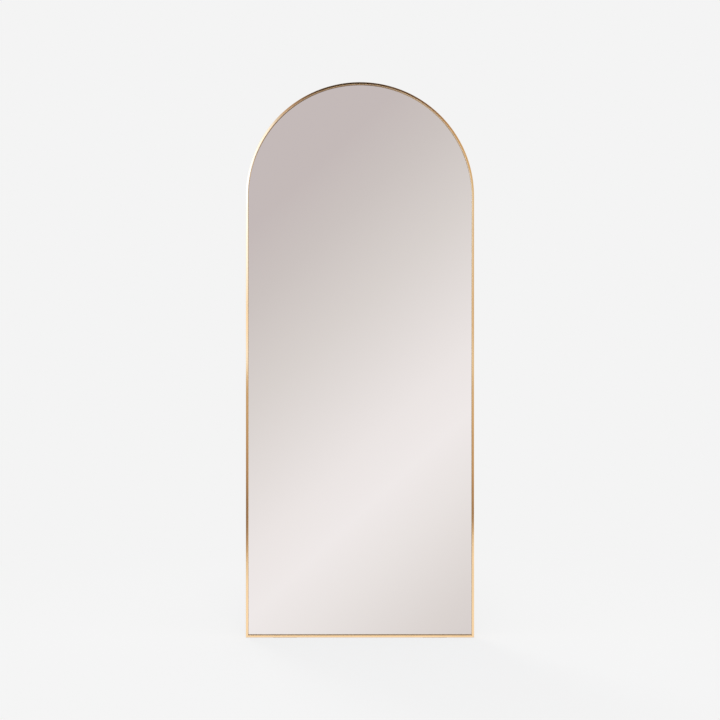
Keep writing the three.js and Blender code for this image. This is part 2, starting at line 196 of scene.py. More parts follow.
def addNode(tree, kind, inputs=None, **settings):
    node = tree.nodes.new(kind)
    for key, value in settings.items():
        setattr(node, key, value)
    for key, value in (inputs or {}).items():
        if isinstance(value, bpy.types.NodeSocket):
            tree.links.new(value, node.inputs[key])
        else:
            node.inputs[key].default_value = value
    return node


def calc(tree, operation, a, b=0.0, c=0.0):
    return addNode(tree, "ShaderNodeMath", {0: a, 1: b, 2: c}, operation=operation).outputs[0]


def spread(tree, value, low, high, toLow=0.0, toHigh=1.0, curve="LINEAR"):
    ends = {"Value": value, "From Min": low, "From Max": high, "To Min": toLow, "To Max": toHigh}
    return addNode(tree, "ShaderNodeMapRange", ends, interpolation_type=curve).outputs["Result"]


def ramp(tree, value, stops):
    node = addNode(tree, "ShaderNodeValToRGB", {"Fac": value})
    elements = node.color_ramp.elements
    while len(elements) < len(stops):
        elements.new(0.5)
    for element, (position, colour) in zip(elements, stops):
        element.position = position
        element.color = (*colour, 1) if isinstance(colour, tuple) else (colour, colour, colour, 1)
    return node.outputs["Color"]


def mixed(tree, share, first, second):
    node = addNode(tree, "ShaderNodeMix", data_type="RGBA")
    for number, value in ((0, share), (6, first), (7, second)):
        if isinstance(value, bpy.types.NodeSocket):
            tree.links.new(value, node.inputs[number])
        else:
            node.inputs[number].default_value = (*value, 1) if isinstance(value, tuple) else value
    return node.outputs[2]


def multiplied(tree, first, second):
    return addNode(tree, "ShaderNodeVectorMath", {0: first, 1: second}, operation="MULTIPLY").outputs[0]


def objectPlace(tree, along=1, deep=1, up=1):
    place = addNode(tree, "ShaderNodeTexCoord").outputs["Object"]
    return addNode(tree, "ShaderNodeMapping", {"Vector": place, "Scale": (along, deep, up)}).outputs[0]


def noiseAt(tree, place, scale, detail=3.0, roughness=0.55):
    settings = {"Vector": place, "Scale": scale, "Detail": detail, "Roughness": roughness}
    return addNode(tree, "ShaderNodeTexNoise", settings).outputs["Fac"]


# A new material with its colour, roughness and bump taken from nodes, and the rest set on the shader itself.
def newFinish(name, build, **fixed):
    material = bpy.data.materials.new(name)
    material.use_nodes = True
    tree = material.node_tree
    shader = tree.nodes["Principled BSDF"]
    for key, value in fixed.items():
        shader.inputs[key.replace("_", " ")].default_value = value
    build(tree, shader)
    return material


def link(tree, shader, colour, roughness=None, height=None, bump=0.0):
    tree.links.new(colour, shader.inputs["Base Color"])
    if roughness is not None:
        tree.links.new(roughness, shader.inputs["Roughness"])
    if height is not None:
        settings = {"Height": height, "Strength": 1.0, "Distance": bump}
        tree.links.new(addNode(tree, "ShaderNodeBump", settings).outputs["Normal"], shader.inputs["Normal"])


def times(colour, share):
    return tuple(value * share for value in colour)


def dress(material, *names):
    for name in names:
        mesh = cadNodes[name].data
        mesh.materials.clear()
        mesh.materials.append(material)


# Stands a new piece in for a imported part.
def standIn(piece, material, node, body="root"):
    piece.data.materials.clear()
    piece.data.materials.append(material)
    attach(piece, body)
    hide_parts(node)


# camera: square on to the glass, level with its middle
camera = {"distance": 4.95, "pictureWidth": 2.4048, "sensorWidth": 36.0, "raised": -0.0007, "farthest": 200}


def makeCamera():
    data = bpy.data.cameras.new("camera")
    data.sensor_width = camera["sensorWidth"]
    data.lens = camera["sensorWidth"] * camera["distance"] / camera["pictureWidth"]
    data.clip_end = camera["farthest"]
    viewer = newPiece("camera", data)
    viewer.location = (0, frontY - camera["distance"], middleZ + camera["raised"])
    viewer.rotation_euler = (math.radians(90), 0, 0)
    scene.camera = viewer


# studio: soft light all round, and dim and bright walls for the glass and the brass to show
studio = {
    "background": 0.9047,
    "lightBelow": 0.64, "lightAbove": 0.80,
    "keyLamp": {"strength": 0.7, "direction": (0.0, 0.75, -0.9), "softness": 25, "shadow": True},
    "backLamp": {"strength": 0.9, "direction": (0.35, -0.9, -0.5), "softness": 20, "shadow": False},
    # the height where the side walls end and the ceiling begins, and how soft the joins are
    "springHeight": 0.107, "overBlend": 0.004, "sideBlend": 0.012,
    # light that the side walls throw, as (height of the direction, level), from the floor up
    "leftWall": [(-0.165, 0.875), (-0.146, 0.87), (-0.136, 0.84), (-0.1285, 0.60), (-0.1206, 0.38),
                 (-0.114, 0.27), (-0.097, 0.285), (-0.065, 0.44), (-0.032, 0.60), (-0.016, 0.60),
                 (-0.004, 0.93), (0.005, 0.93), (0.024, 0.895), (0.040, 0.91), (0.057, 0.945), (0.107, 1.0)],
    "rightWall": [(-0.165, 0.87), (-0.130, 0.86), (-0.1206, 0.87), (-0.1127, 0.60), (-0.105, 0.20),
                  (-0.097, 0.39), (-0.065, 0.56), (-0.032, 0.65), (-0.016, 0.69), (-0.002, 0.80),
                  (0.024, 0.655), (0.107, 0.75)],
    # the same over the arch, as (degrees round from the right, level)
    "ceiling": [(0, 0.745), (30, 0.575), (40, 0.45), (50, 0.25), (60, 0.12), (72, 0.09), (82, 0.05),
                (92, 0.0), (104, 0.03), (112, 0.06), (120, 0.21), (141, 0.895), (180, 1.0)],
    "ceilingTint": [(0, (1.0, 1.0, 0.93)), (60, (1.0, 0.95, 0.85)), (110, (1.0, 1.0, 1.0)),
                    (130, (1.0, 1.12, 1.6)), (150, (1.06, 1.26, 1.5)), (180, (1.0, 1.05, 1.3))],
    # and all round, for the back and the sides, as (height of the direction, grey)
    "room": [(-1.0, 0.35), (-0.30, 0.42), (-0.14, 0.48), (-0.03, 0.66), (0.05, 1.10), (0.11, 1.20),
             (0.19, 0.62), (0.40, 0.70), (0.70, 1.10), (1.0, 0.60)],
    "roomTurn": 0.18,
    # how squarely a direction points to the front before the side walls and the ceiling show, not the room
    "wallsFrom": 0.50, "wallsTo": 0.78,
    # the colour of each level: warm and dim, through neutral, to a cool lamp
    "levels": [(0.0, (0.024, 0.016, 0.010)), (0.15, (0.156, 0.114, 0.094)), (0.45, (0.498, 0.39, 0.30)),
               (0.62, (0.66, 0.57, 0.46)), (0.80, (0.84, 0.85, 0.86)), (0.90, (1.14, 1.19, 1.32)),
               (1.0, (1.30, 1.85, 3.0))],
    # the grey screen in the glass, shaded on a diagonal, as (distance along it, colour)
    "screenSlant": (0.677, -0.736),
    "screen": [(-0.165, (0.594, 0.528, 0.520)), (-0.115, (0.594, 0.528, 0.518)),
               (-0.078, (0.644, 0.587, 0.567)), (-0.027, (0.742, 0.690, 0.664)),
               (0.045, (0.898, 0.846, 0.833)), (0.076, (0.932, 0.884, 0.875)),
               (0.110, (0.876, 0.828, 0.810)), (0.164, (0.764, 0.708, 0.684)),
               (0.185, (0.728, 0.670, 0.654))],
    # to the sides the screen grows pale, and this share of its own shades is left
    "sideShade": (0.86, 0.855, 0.85), "sideShare": 0.4, "screenFrom": 0.75, "screenTo": 0.95,
}


# Stretches a ramp's stops over 0 to 1.
def overRange(stops):
    low, high = stops[0][0], stops[-1][0]
    return [((place - low) / (high - low), value) for place, value in stops]


def rampBetween(tree, value, stops):
    return ramp(tree, spread(tree, value, stops[0][0], stops[-1][0]), overRange(stops))


# What the brass shows: side walls and a ceiling in front of it, and a plainer room all round.
def wallsForBrass(tree, x, y, z):
    left = rampBetween(tree, z, studio["leftWall"])
    right = rampBetween(tree, z, studio["rightWall"])
    blend = studio["sideBlend"]
    sides = mixed(tree, spread(tree, x, -blend, blend, curve="SMOOTHSTEP"), left, right)
    above = calc(tree, "SUBTRACT", z, studio["springHeight"])
    angle = calc(tree, "ARCTAN2", calc(tree, "MAXIMUM", above, 0.0), x)
    angle = calc(tree, "MULTIPLY", angle, 180 / math.pi)
    over = rampBetween(tree, angle, studio["ceiling"])
    tint = rampBetween(tree, angle, studio["ceilingTint"])
    join = studio["overBlend"]
    isOver = spread(tree, above, -join, join, curve="SMOOTHSTEP")
    ahead = ramp(tree, mixed(tree, isOver, sides, over), studio["levels"])
    ahead = multiplied(tree, ahead, mixed(tree, isOver, (1.0, 1.0, 1.0), tint))
    slanted = calc(tree, "MULTIPLY_ADD", x, studio["roomTurn"], z)
    around = rampBetween(tree, slanted, studio["room"])
    toFront = calc(tree, "MULTIPLY", y, -1.0)
    facing = spread(tree, toFront, studio["wallsFrom"], studio["wallsTo"], curve="SMOOTHSTEP")
    return mixed(tree, facing, around, ahead)


# What the glass shows: the screen, whose shades run back and forth past its ends.
def screenForGlass(tree, x, y, z):
    across, up = studio["screenSlant"]
    along = calc(tree, "MULTIPLY_ADD", z, up, calc(tree, "MULTIPLY", x, across))
    start, end = studio["screen"][0][0], studio["screen"][-1][0]
    folded = calc(tree, "PINGPONG", calc(tree, "SUBTRACT", along, start), end - start)
    shade = ramp(tree, spread(tree, folded, 0, end - start), overRange(studio["screen"]))
    toFront = calc(tree, "MULTIPLY", y, -1.0)
    share = spread(tree, toFront, studio["screenFrom"], studio["screenTo"], studio["sideShare"], 1.0,
                   curve="SMOOTHSTEP")
    return mixed(tree, share, studio["sideShade"], shade)


# The lens sees the plain background, mirror and brass see their walls, and the rest gets soft light.
def makeWorld():
    world = bpy.data.worlds.new("studio")
    world.use_nodes = True
    world.cycles.sampling_method = "NONE"
    scene.world = world
    tree = world.node_tree
    tree.nodes.clear()
    direction = addNode(tree, "ShaderNodeTexCoord").outputs["Generated"]
    x, y, z = addNode(tree, "ShaderNodeSeparateXYZ", {0: direction}).outputs
    path = addNode(tree, "ShaderNodeLightPath").outputs
    level = spread(tree, z, -1, 1, studio["lightBelow"], studio["lightAbove"])
    soft = addNode(tree, "ShaderNodeCombineColor", {0: level, 1: level, 2: level}).outputs[0]
    brassShows = wallsForBrass(tree, x, y, z)
    glassShows = screenForGlass(tree, x, y, z)
    mirrored = mixed(tree, path["Is Singular Ray"], brassShows, glassShows)
    unseen = mixed(tree, path["Is Glossy Ray"], soft, mirrored)
    seenStraight = calc(tree, "MAXIMUM", path["Is Camera Ray"], path["Is Transmission Ray"])
    shade = mixed(tree, seenStraight, unseen, (studio["background"],) * 3)
    shader = addNode(tree, "ShaderNodeBackground", {"Color": shade})
    output = addNode(tree, "ShaderNodeOutputWorld")
    tree.links.new(shader.outputs[0], output.inputs["Surface"])


def makeLamp(name, strength, direction, softness, shadow):
    data = bpy.data.lights.new(name, "SUN")
    data.energy = strength
    data.angle = math.radians(softness)
    data.cycles.cast_shadow = shadow
    lamp = newPiece(name, data)
    lamp.rotation_euler = Vector(direction).to_track_quat("-Z", "Y").to_euler()
    lamp.visible_glossy = False


floorValues = {"halfSize": 30.0, "colour": 0.90, "shadowShare": 0.20, "fadeFrom": 0.7, "fadeTo": 2.4}


# The floor shows the background's own grey, and near the mirror its soft shadow.
def floorFinish(tree, shader):
    plain = addNode(tree, "ShaderNodeEmission", {"Color": (*(studio["background"],) * 3, 1)}).outputs[0]
    geometry = addNode(tree, "ShaderNodeNewGeometry").outputs
    place = geometry["Position"]
    away = addNode(tree, "ShaderNodeVectorMath", {0: place}, operation="LENGTH").outputs["Value"]
    share = spread(tree, away, floorValues["fadeFrom"], floorValues["fadeTo"],
                   1 - floorValues["shadowShare"], 1.0, curve="SMOOTHSTEP")
    isSeen = addNode(tree, "ShaderNodeLightPath").outputs["Is Camera Ray"]
    share = calc(tree, "MULTIPLY", isSeen, share)
    top = addNode(tree, "ShaderNodeMixShader", {0: share, 1: shader.outputs[0], 2: plain}).outputs[0]
    clear = addNode(tree, "ShaderNodeBsdfTransparent").outputs[0]
    whole = addNode(tree, "ShaderNodeMixShader", {0: geometry["Backfacing"], 1: top, 2: clear}).outputs[0]
    tree.links.new(whole, tree.nodes["Material Output"].inputs["Surface"])


def makeFloor():
    half = floorValues["halfSize"]
    corners = [(-half, -half, 0), (half, -half, 0), (half, half, 0), (-half, half, 0)]
    mesh = bpy.data.meshes.new("floor")
    mesh.from_pydata(corners, [], [(0, 1, 2, 3)])
    floor = newPiece("floor", mesh)
    floor.visible_glossy = False
    grey = (*(floorValues["colour"],) * 3, 1)
    mesh.materials.append(newFinish("pale floor", floorFinish, Base_Color=grey, Roughness=1.0,
                                    Specular_IOR_Level=0.0))


scene.view_settings.view_transform = "Standard"
makeCamera()
makeWorld()
makeFloor()
makeLamp("key lamp", **studio["keyLamp"])
makeLamp("back lamp", **studio["backLamp"])
print("camera and studio made")


# brass frame: one bent member for the sides and the arch, one straight member below
brass = {
    "colour": (0.94, 0.64, 0.34), "deepShare": 0.93, "paleShare": 1.03, "cloudScale": 7.0,
    "roughness": (0.085, 0.12), "brushing": 1.0, "brushingTurn": 0.25,
    # brushing as repeats along the metal, across it and through it, and how much each kind darkens it
    "fineLines": (9, 5200, 1), "longMarks": (2.2, 700, 1), "fineShare": 0.25, "longShare": 0.5,
    "lineHeight": 0.000001,
    # the nose's inner wall: duller brass darkened with painted shade of the recess, and darker painted shade
    # between two heights up the arch, measured on a slant
    "innerWallDullAndShaded": (0.69, 0.475, 0.245), "innerRoughness": 0.3, "innerFade": 0.0003,
    "paintedCrownShade": (0.23, 0.11, 0.025), "paintedShadeFrom": 0.62, "paintedShadeTo": 0.95, "paintedShadeSlant": 0.35,
    # shape
    "noseWidth": 0.0074, "crown": 0.0006, "crownPeak": 0.8,
    "frontEdge": 0.0005, "rearEdge": 0.0003, "mitreGap": 0.00005,
    "archSteps": 192, "faceSteps": 12, "frontSteps": 6, "rearSteps": 3,
}


def brushedBrass(tree, shader):
    uv = addNode(tree, "ShaderNodeUVMap", uv_map="lengthwise").outputs[0]
    fine = addNode(tree, "ShaderNodeMapping", {"Vector": uv, "Scale": brass["fineLines"]}).outputs[0]
    coarse = addNode(tree, "ShaderNodeMapping", {"Vector": uv, "Scale": brass["longMarks"]}).outputs[0]
    brushLines = noiseAt(tree, fine, 1.0, 3, 0.6)
    longMarks = noiseAt(tree, coarse, 1.0, 2, 0.5)
    cloud = noiseAt(tree, objectPlace(tree), brass["cloudScale"])
    deep = times(brass["colour"], brass["deepShare"])
    pale = times(brass["colour"], brass["paleShare"])
    tone = mixed(tree, spread(tree, cloud, 0.35, 0.65), deep, pale)
    tone = mixed(tree, spread(tree, brushLines, 0.3, 0.75, 0.0, brass["fineShare"]), tone, deep)
    tone = mixed(tree, spread(tree, longMarks, 0.35, 0.7, 0.0, brass["longShare"]), tone, deep)
    # The inner wall beside the glass is duller brass, darkened with painted shade of the recess.
    around = addNode(tree, "ShaderNodeSeparateXYZ", {0: uv}).outputs["Y"]
    wallDepth = noseRearY - frontY - brass["frontEdge"]
    isFace = spread(tree, around, wallDepth - brass["innerFade"], wallDepth)
    # Painted shade: under the crown of the arch the inner wall is painted darker, as if in its own shade.
    place = addNode(tree, "ShaderNodeSeparateXYZ", {0: objectPlace(tree)}).outputs
    high = calc(tree, "MULTIPLY_ADD", place["X"], -brass["paintedShadeSlant"], place["Z"])
    paintedShadeLow = springZ + brass["paintedShadeFrom"] * outerRadius
    paintedShadeHigh = springZ + brass["paintedShadeTo"] * outerRadius
    wallToneWithPaintedShade = mixed(tree, spread(tree, high, paintedShadeLow, paintedShadeHigh), brass["innerWallDullAndShaded"], brass["paintedCrownShade"])
    tone = mixed(tree, isFace, wallToneWithPaintedShade, tone)
    marks = calc(tree, "ADD", brushLines, longMarks)
    rough = spread(tree, marks, 0.6, 1.4, *brass["roughness"])
    rough = spread(tree, isFace, 0, 1, brass["innerRoughness"], rough)
    link(tree, shader, tone, rough, brushLines, brass["lineHeight"])
    tangent = addNode(tree, "ShaderNodeTangent", direction_type="UV_MAP", uv_map="lengthwise").outputs[0]
    tree.links.new(tangent, shader.inputs["Tangent"])


# The section as (inset, depth), from the nose's inner wall round by the rear flange to its crowned face.
def frameSection():
    width = brass["noseWidth"]
    wall = rearY - flangeFrontY
    edge, rear = brass["frontEdge"], brass["rearEdge"]
    peak = brass["crownPeak"] * width
    frontSteps, rearSteps = brass["frontSteps"], brass["rearSteps"]

    def faceDepth(inset):
        return frontY + brass["crown"] * ((inset - peak) / peak) ** 2

    steps = brass["faceSteps"]
    face = [edge + (width - 2 * edge) * i / steps for i in range(1, steps)]
    # Each rounding starts where it meets the slope of the crowned face.
    innerEdge = arc(width - edge, faceDepth(width - edge) + edge, edge, 274, 360, frontSteps)
    outline = [
        innerEdge[-1],
        (width, noseRearY),
        (wall, noseRearY),
        (wall, flangeFrontY),
        (flangeWidth, flangeFrontY),
        *arc(flangeWidth - rear, rearY - rear, rear, 0, 90, rearSteps),
        *arc(rear, rearY - rear, rear, 90, 180, rearSteps),
        *arc(edge, faceDepth(edge) + edge, edge, 180, 260, frontSteps),
        *[(inset, faceDepth(inset)) for inset in face],
        *innerEdge[:-1],
    ]
    front, back, inner = frontY + wall, noseRearY - wall, width - wall
    chamber = [(wall, front), (wall, back), (inner, back), (inner, front)]
    return [outline, chamber]


# Up the left side, round the arch and down the right side, mitred at both feet.
def archStations():
    foot = baseZ + brass["mitreGap"]
    side = springZ - baseZ
    stations = [(Vector((-outerRadius, 0, foot)), Vector((1, 0, 1)), 0)]
    for i in range(brass["archSteps"] + 1):
        turn = math.pi * i / brass["archSteps"]
        outward = Vector((-math.cos(turn), 0, math.sin(turn)))
        place = Vector((0, 0, springZ)) + outward * outerRadius
        stations.append((place, -outward, side + turn * outerRadius))
    whole = 2 * side + math.pi * outerRadius
    stations.append((Vector((outerRadius, 0, foot)), Vector((-1, 0, 1)), whole))
    return stations


def railStations():
    end = outerRadius - brass["mitreGap"]
    return [
        (Vector((end, 0, baseZ)), Vector((-1, 0, 1)), 0),
        (Vector((-end, 0, baseZ)), Vector((1, 0, 1)), 2 * end),
    ]


def makeBrassFrame():
    finish = newFinish("brushed brass", brushedBrass, Metallic=1.0, Anisotropic=brass["brushing"],
                       Anisotropic_Rotation=brass["brushingTurn"])
    arch = newPiece("brass_arch", sweptMesh("brass_arch", archStations(), frameSection()))
    standIn(arch, finish, "frame_arch")
    rail = newPiece("brass_bottom_rail", sweptMesh("brass_bottom_rail", railStations(), frameSection()))
    standIn(rail, finish, "frame_bottom_rail")


makeBrassFrame()
print("brass frame made")


# mirror glass, its film and the tape it beds on
glass = {
    "silver": (0.93, 0.93, 0.93), "silverCloud": 2.5,
    "film": (0.60, 0.63, 0.64), "weaveScale": 220, "weaveHeight": 0.00002,
    "tape": (0.016, 0.016, 0.017), "tapeGrain": 900, "tapeHeight": 0.00005,
}


def silveredGlass(tree, shader):
    cloud = noiseAt(tree, objectPlace(tree), glass["silverCloud"], 2)
    link(tree, shader, mixed(tree, cloud, times(glass["silver"], 0.995), glass["silver"]))


def safetyFilm(tree, shader):
    weave = noiseAt(tree, objectPlace(tree, 1, 1, 6), glass["weaveScale"])
    tone = mixed(tree, weave, times(glass["film"], 0.9), glass["film"])
    link(tree, shader, tone, spread(tree, weave, 0.3, 0.7, 0.35, 0.5), weave, glass["weaveHeight"])


def blackTape(tree, shader):
    grain = noiseAt(tree, objectPlace(tree), glass["tapeGrain"])
    tone = mixed(tree, grain, times(glass["tape"], 0.7), times(glass["tape"], 1.4))
    link(tree, shader, tone, spread(tree, grain, 0.3, 0.7, 0.7, 0.85), grain, glass["tapeHeight"])


dress(newFinish("silvered glass", silveredGlass, Metallic=1.0, Roughness=0.0), "mirror_glass")
dress(newFinish("safety film", safetyFilm), "safety_film")
dress(newFinish("black glazing tape", blackTape), "glazing_tape")
print("mirror glass made")


# backing board, and what it presses on
backing = {
    "board": (0.030, 0.028, 0.027), "fibre": (0.075, 0.068, 0.062), "fibreScale": (260, 1900),
    "speckleScale": 1300, "cloudScale": 5, "boardHeight": 0.00004,
    "foam": (0.80, 0.80, 0.77), "cellScale": 900.0, "cellDepth": 0.0002,
}


# Short fibres that lie both ways, under a thin coat of black.
def blackFibreboard(tree, shader):
    lengthScale, widthScale = backing["fibreScale"]
    fibresAcross = noiseAt(tree, objectPlace(tree, lengthScale, 1, widthScale), 1.0, 2)
    fibresUp = noiseAt(tree, objectPlace(tree, widthScale, 1, lengthScale), 1.0, 2)
    fibres = calc(tree, "MAXIMUM", fibresAcross, fibresUp)
    speckle = noiseAt(tree, objectPlace(tree), backing["speckleScale"], 2)
    cloud = noiseAt(tree, objectPlace(tree), backing["cloudScale"])
    tone = mixed(tree, spread(tree, fibres, 0.58, 0.80), backing["board"], backing["fibre"])
    tone = mixed(tree, spread(tree, cloud, 0.3, 0.7, 0.0, 0.3), tone, times(backing["board"], 0.8))
    height = calc(tree, "ADD", fibres, calc(tree, "MULTIPLY", speckle, 0.6))
    link(tree, shader, tone, spread(tree, speckle, 0.3, 0.7, 0.62, 0.8), height, backing["boardHeight"])


def whiteFoam(tree, shader):
    settings = {"Vector": objectPlace(tree), "Scale": backing["cellScale"]}
    cells = addNode(tree, "ShaderNodeTexVoronoi", settings).outputs["Distance"]
    tone = mixed(tree, cells, backing["foam"], times(backing["foam"], 0.85))
    link(tree, shader, tone, spread(tree, cells, 0.0, 1.0, 0.8, 0.95), cells, backing["cellDepth"])


dress(newFinish("black fibreboard", blackFibreboard), "backing_board")
dress(newFinish("white foam", whiteFoam), "foam_strip_left", "foam_strip_centre", "foam_strip_right")
print("backing made")


# hanging rail of planed pine
pine = {
    "pale": (0.66, 0.46, 0.26), "line": (0.46, 0.27, 0.12), "ringWidth": 0.008, "wander": 3.2,
    "grainHeight": 0.00004, "edge": 0.0008,
}


# The grain runs the length of the rail, and each ring wanders a little up and down on its way.
def planedPine(tree, shader):
    place = addNode(tree, "ShaderNodeTexCoord").outputs["Object"]
    height = addNode(tree, "ShaderNodeSeparateXYZ", {0: place}).outputs["Z"]
    wander = noiseAt(tree, objectPlace(tree, 1.8, 26, 26), 1.0, 2, 0.4)
    shift = calc(tree, "MULTIPLY", wander, pine["wander"])
    ring = calc(tree, "MULTIPLY_ADD", height, 1 / pine["ringWidth"], shift)
    rings = calc(tree, "SINE", calc(tree, "MULTIPLY", ring, 2 * math.pi))
    pores = noiseAt(tree, objectPlace(tree, 60, 1800, 1800), 1.0, 2)
    cloud = noiseAt(tree, objectPlace(tree, 3, 60, 60), 1.0)
    share = calc(tree, "MULTIPLY", spread(tree, rings, -0.1, 1.0), spread(tree, cloud, 0.35, 0.65, 0.25, 0.8))
    tone = mixed(tree, share, pine["pale"], pine["line"])
    tone = mixed(tree, spread(tree, pores, 0.5, 0.8, 0.0, 0.35), tone, times(pine["line"], 0.8))
    tone = mixed(tree, spread(tree, cloud, 0.35, 0.7, 0.0, 0.3), tone, times(pine["pale"], 1.12))
    relief = calc(tree, "SUBTRACT", calc(tree, "MULTIPLY", rings, 0.2), pores)
    link(tree, shader, tone, spread(tree, pores, 0.3, 0.7, 0.48, 0.62), relief, pine["grainHeight"])


dress(newFinish("planed pine", planedPine), "hanging_rail")
easedEdges(cadNodes["hanging_rail"], pine["edge"])
print("hanging rail made")


# steel and cast finishes for the fittings
fittings = {
    "zinc": (0.66, 0.67, 0.69), "zincWarm": (0.70, 0.66, 0.58),
    "spring": (0.30, 0.31, 0.34), "springBlue": (0.20, 0.23, 0.30), "scuffHeight": 0.00001,
    "cast": (0.52, 0.53, 0.54), "castHeight": 0.00008,
    "keyEdge": 0.0004, "plateEdge": 0.0003,
}


def zincPlate(tree, shader):
    patches = noiseAt(tree, objectPlace(tree), 160)
    scuffs = noiseAt(tree, objectPlace(tree, 1, 1, 5), 900, 2)
    tone = mixed(tree, spread(tree, patches, 0.45, 0.7), fittings["zinc"], fittings["zincWarm"])
    link(tree, shader, tone, spread(tree, scuffs, 0.3, 0.75, 0.24, 0.42), scuffs, fittings["scuffHeight"])


def rolledSpringSteel(tree, shader):
    streaks = noiseAt(tree, objectPlace(tree, 120, 900, 2600), 1.0)
    patches = noiseAt(tree, objectPlace(tree), 110)
    tone = mixed(tree, spread(tree, patches, 0.4, 0.65), fittings["spring"], fittings["springBlue"])
    link(tree, shader, tone, spread(tree, streaks, 0.3, 0.7, 0.26, 0.42), streaks, fittings["scuffHeight"])


def castAlloy(tree, shader):
    pebbles = noiseAt(tree, objectPlace(tree), 1400)
    tone = mixed(tree, pebbles, times(fittings["cast"], 0.85), fittings["cast"])
    link(tree, shader, tone, spread(tree, pebbles, 0.3, 0.7, 0.48, 0.64), pebbles, fittings["castHeight"])


zinc = newFinish("zinc plate", zincPlate, Metallic=1.0)
springSteel = newFinish("rolled spring steel", rolledSpringSteel, Metallic=1.0)
dress(newFinish("cast alloy", castAlloy, Metallic=1.0), "corner_key_left", "corner_key_right")
dress(zinc, "corner_plate_left", "corner_plate_right")
for side in ("left", "right"):
    easedEdges(cadNodes["corner_key_" + side], fittings["keyEdge"])
    easedEdges(cadNodes["corner_plate_" + side], fittings["plateEdge"])
print("corner fittings made")


# pan-head screws
screw = {
    "headRadius": 0.0035, "headHeight": 0.0022, "rim": 0.0006,
    "shankRadius": 0.00175, "rootRadius": 0.0013, "threadPitch": 0.0008, "flank": 0.2, "neck": 0.0006,
    "crossLength": 0.0038, "crossWidth": 0.0009, "crossDepth": 0.0014, "crossTaper": 0.55,
    "crossAbove": 0.001, "sides": 40, "domeSteps": 10,
}


# A screw's profile, with its seat at height 0 and its head towards +Y.
def screwProfile(length):
    pitch = screw["threadPitch"]
    flank = pitch * screw["flank"]
    point = 2 * screw["shankRadius"]
    profile = [(0, -length)]
    turns = int((length - screw["neck"]) / pitch)
    for i in range(turns):
        height = -length + pitch * (i + 0.5)
        share = min(1, (height + length) / point)
        profile.append((screw["rootRadius"] * share, height - flank))
        profile.append((screw["shankRadius"] * share, height + flank))
    profile += [(screw["rootRadius"], -screw["neck"]), (screw["rootRadius"], 0), (screw["headRadius"], 0)]
    domeHeight = screw["headHeight"] - screw["rim"]
    dome = arc(0, 0, 1, 0, 90, screw["domeSteps"])
    profile += [(screw["headRadius"] * a, screw["rim"] + domeHeight * b) for a, b in dome[:-1]]
    return profile + [(0, screw["headHeight"])]


# A cross-shaped plug that narrows downwards, for the driver recess.
def crossPlug():
    half, thin = screw["crossLength"] / 2, screw["crossWidth"] / 2
    quarter = [(thin, half), (thin, thin), (half, thin)]
    outline = []
    for i in range(4):
        turn = -math.pi / 2 * i
        for a, b in quarter:
            across = a * math.cos(turn) - b * math.sin(turn)
            up = a * math.sin(turn) + b * math.cos(turn)
            outline.append((across, up))
    built = bmesh.new()
    top = screw["headHeight"]
    upper = [built.verts.new((a, top + screw["crossAbove"], b)) for a, b in outline]
    taper = screw["crossTaper"]
    lower = [built.verts.new((a * taper, top - screw["crossDepth"], b * taper)) for a, b in outline]
    for i in range(len(outline)):
        j = (i + 1) % len(outline)
        built.faces.new((upper[i], upper[j], lower[j], lower[i]))
    built.faces.new(upper)
    built.faces.new(lower)
    return meshFrom("cross plug", built)


def makeScrewMesh(length):
    name = "pan_head_screw_" + str(round(length * 1000))
    blank = newPiece(name, turnedMesh(name, screwProfile(length), screw["sides"]))
    cutOut(blank, crossPlug())
    mesh = blank.data
    bpy.data.objects.remove(blank)
    return mesh


def makeScrews():
    meshes = {}
    for node in sorted(name for name in cadNodes if "_screw_" in name):
        low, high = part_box(node)
        length = round(high.y - screw["headHeight"] - low.y, 4)
        if length not in meshes:
            meshes[length] = makeScrewMesh(length)
        piece = newPiece("pan_" + node, meshes[length])
        piece.location = ((low.x + high.x) / 2, high.y - screw["headHeight"], (low.z + high.z) / 2)
        piece.rotation_euler = (0, chance.uniform(0, math.pi / 2), 0)
        standIn(piece, zinc, node)


makeScrews()
print("screws made")


# spring clips that hold the board forward
clip = {
    "outerMargin": 0.003, "flangeGap": 0.0006, "footLength": 0.011, "screwInset": 0.007,
    "thickness": 0.0012, "width": 0.018, "bend": 0.0017, "bendSteps": 8, "corner": 0.004, "edge": 0.00025,
}


# Into the frame from the point where a clip's screw stands.
def inwardAt(x, z):
    if z > springZ:
        return -Vector((x, 0, z - springZ)).normalized()
    if z < railHigh.z:
        return Vector((0, 0, 1))
    return Vector((-math.copysign(1, x), 0, 0))


# Half the width of a strip whose ends are rounded, at a distance from its nearest end.
def roundedHalf(half, corner, distance):
    short = max(0, corner - distance)
    return half - corner + math.sqrt(corner ** 2 - short ** 2)


# Rows for stripMesh along a path in a plane, with rounded ends where a corner radius is given.
def stripRows(path, toPoint, half, cornerStart, cornerEnd):
    lengths = [0]
    for a, b in zip(path, path[1:]):
        lengths.append(lengths[-1] + math.dist(a, b))
    rows = []
    for i, (a, b) in enumerate(path):
        before, after = path[max(0, i - 1)], path[min(len(path) - 1, i + 1)]
        along = Vector((after[0] - before[0], after[1] - before[1])).normalized()
        wide = half
        if cornerStart:
            wide = min(wide, roundedHalf(half, cornerStart, lengths[i]))
        if cornerEnd:
            wide = min(wide, roundedHalf(half, cornerEnd, lengths[-1] - lengths[i]))
        rows.append((toPoint(a, b), toPoint(-along.y, along.x), wide))
    return rows


# Points over a rounded end, closer together at the tip.
def roundedStart(start, corner, direction, steps=6):
    gone = [corner * (1 - math.cos(math.pi / 2 / steps * i)) for i in range(steps + 1)]
    return [(start[0] + direction[0] * way, start[1] + direction[1] * way) for way in gone]


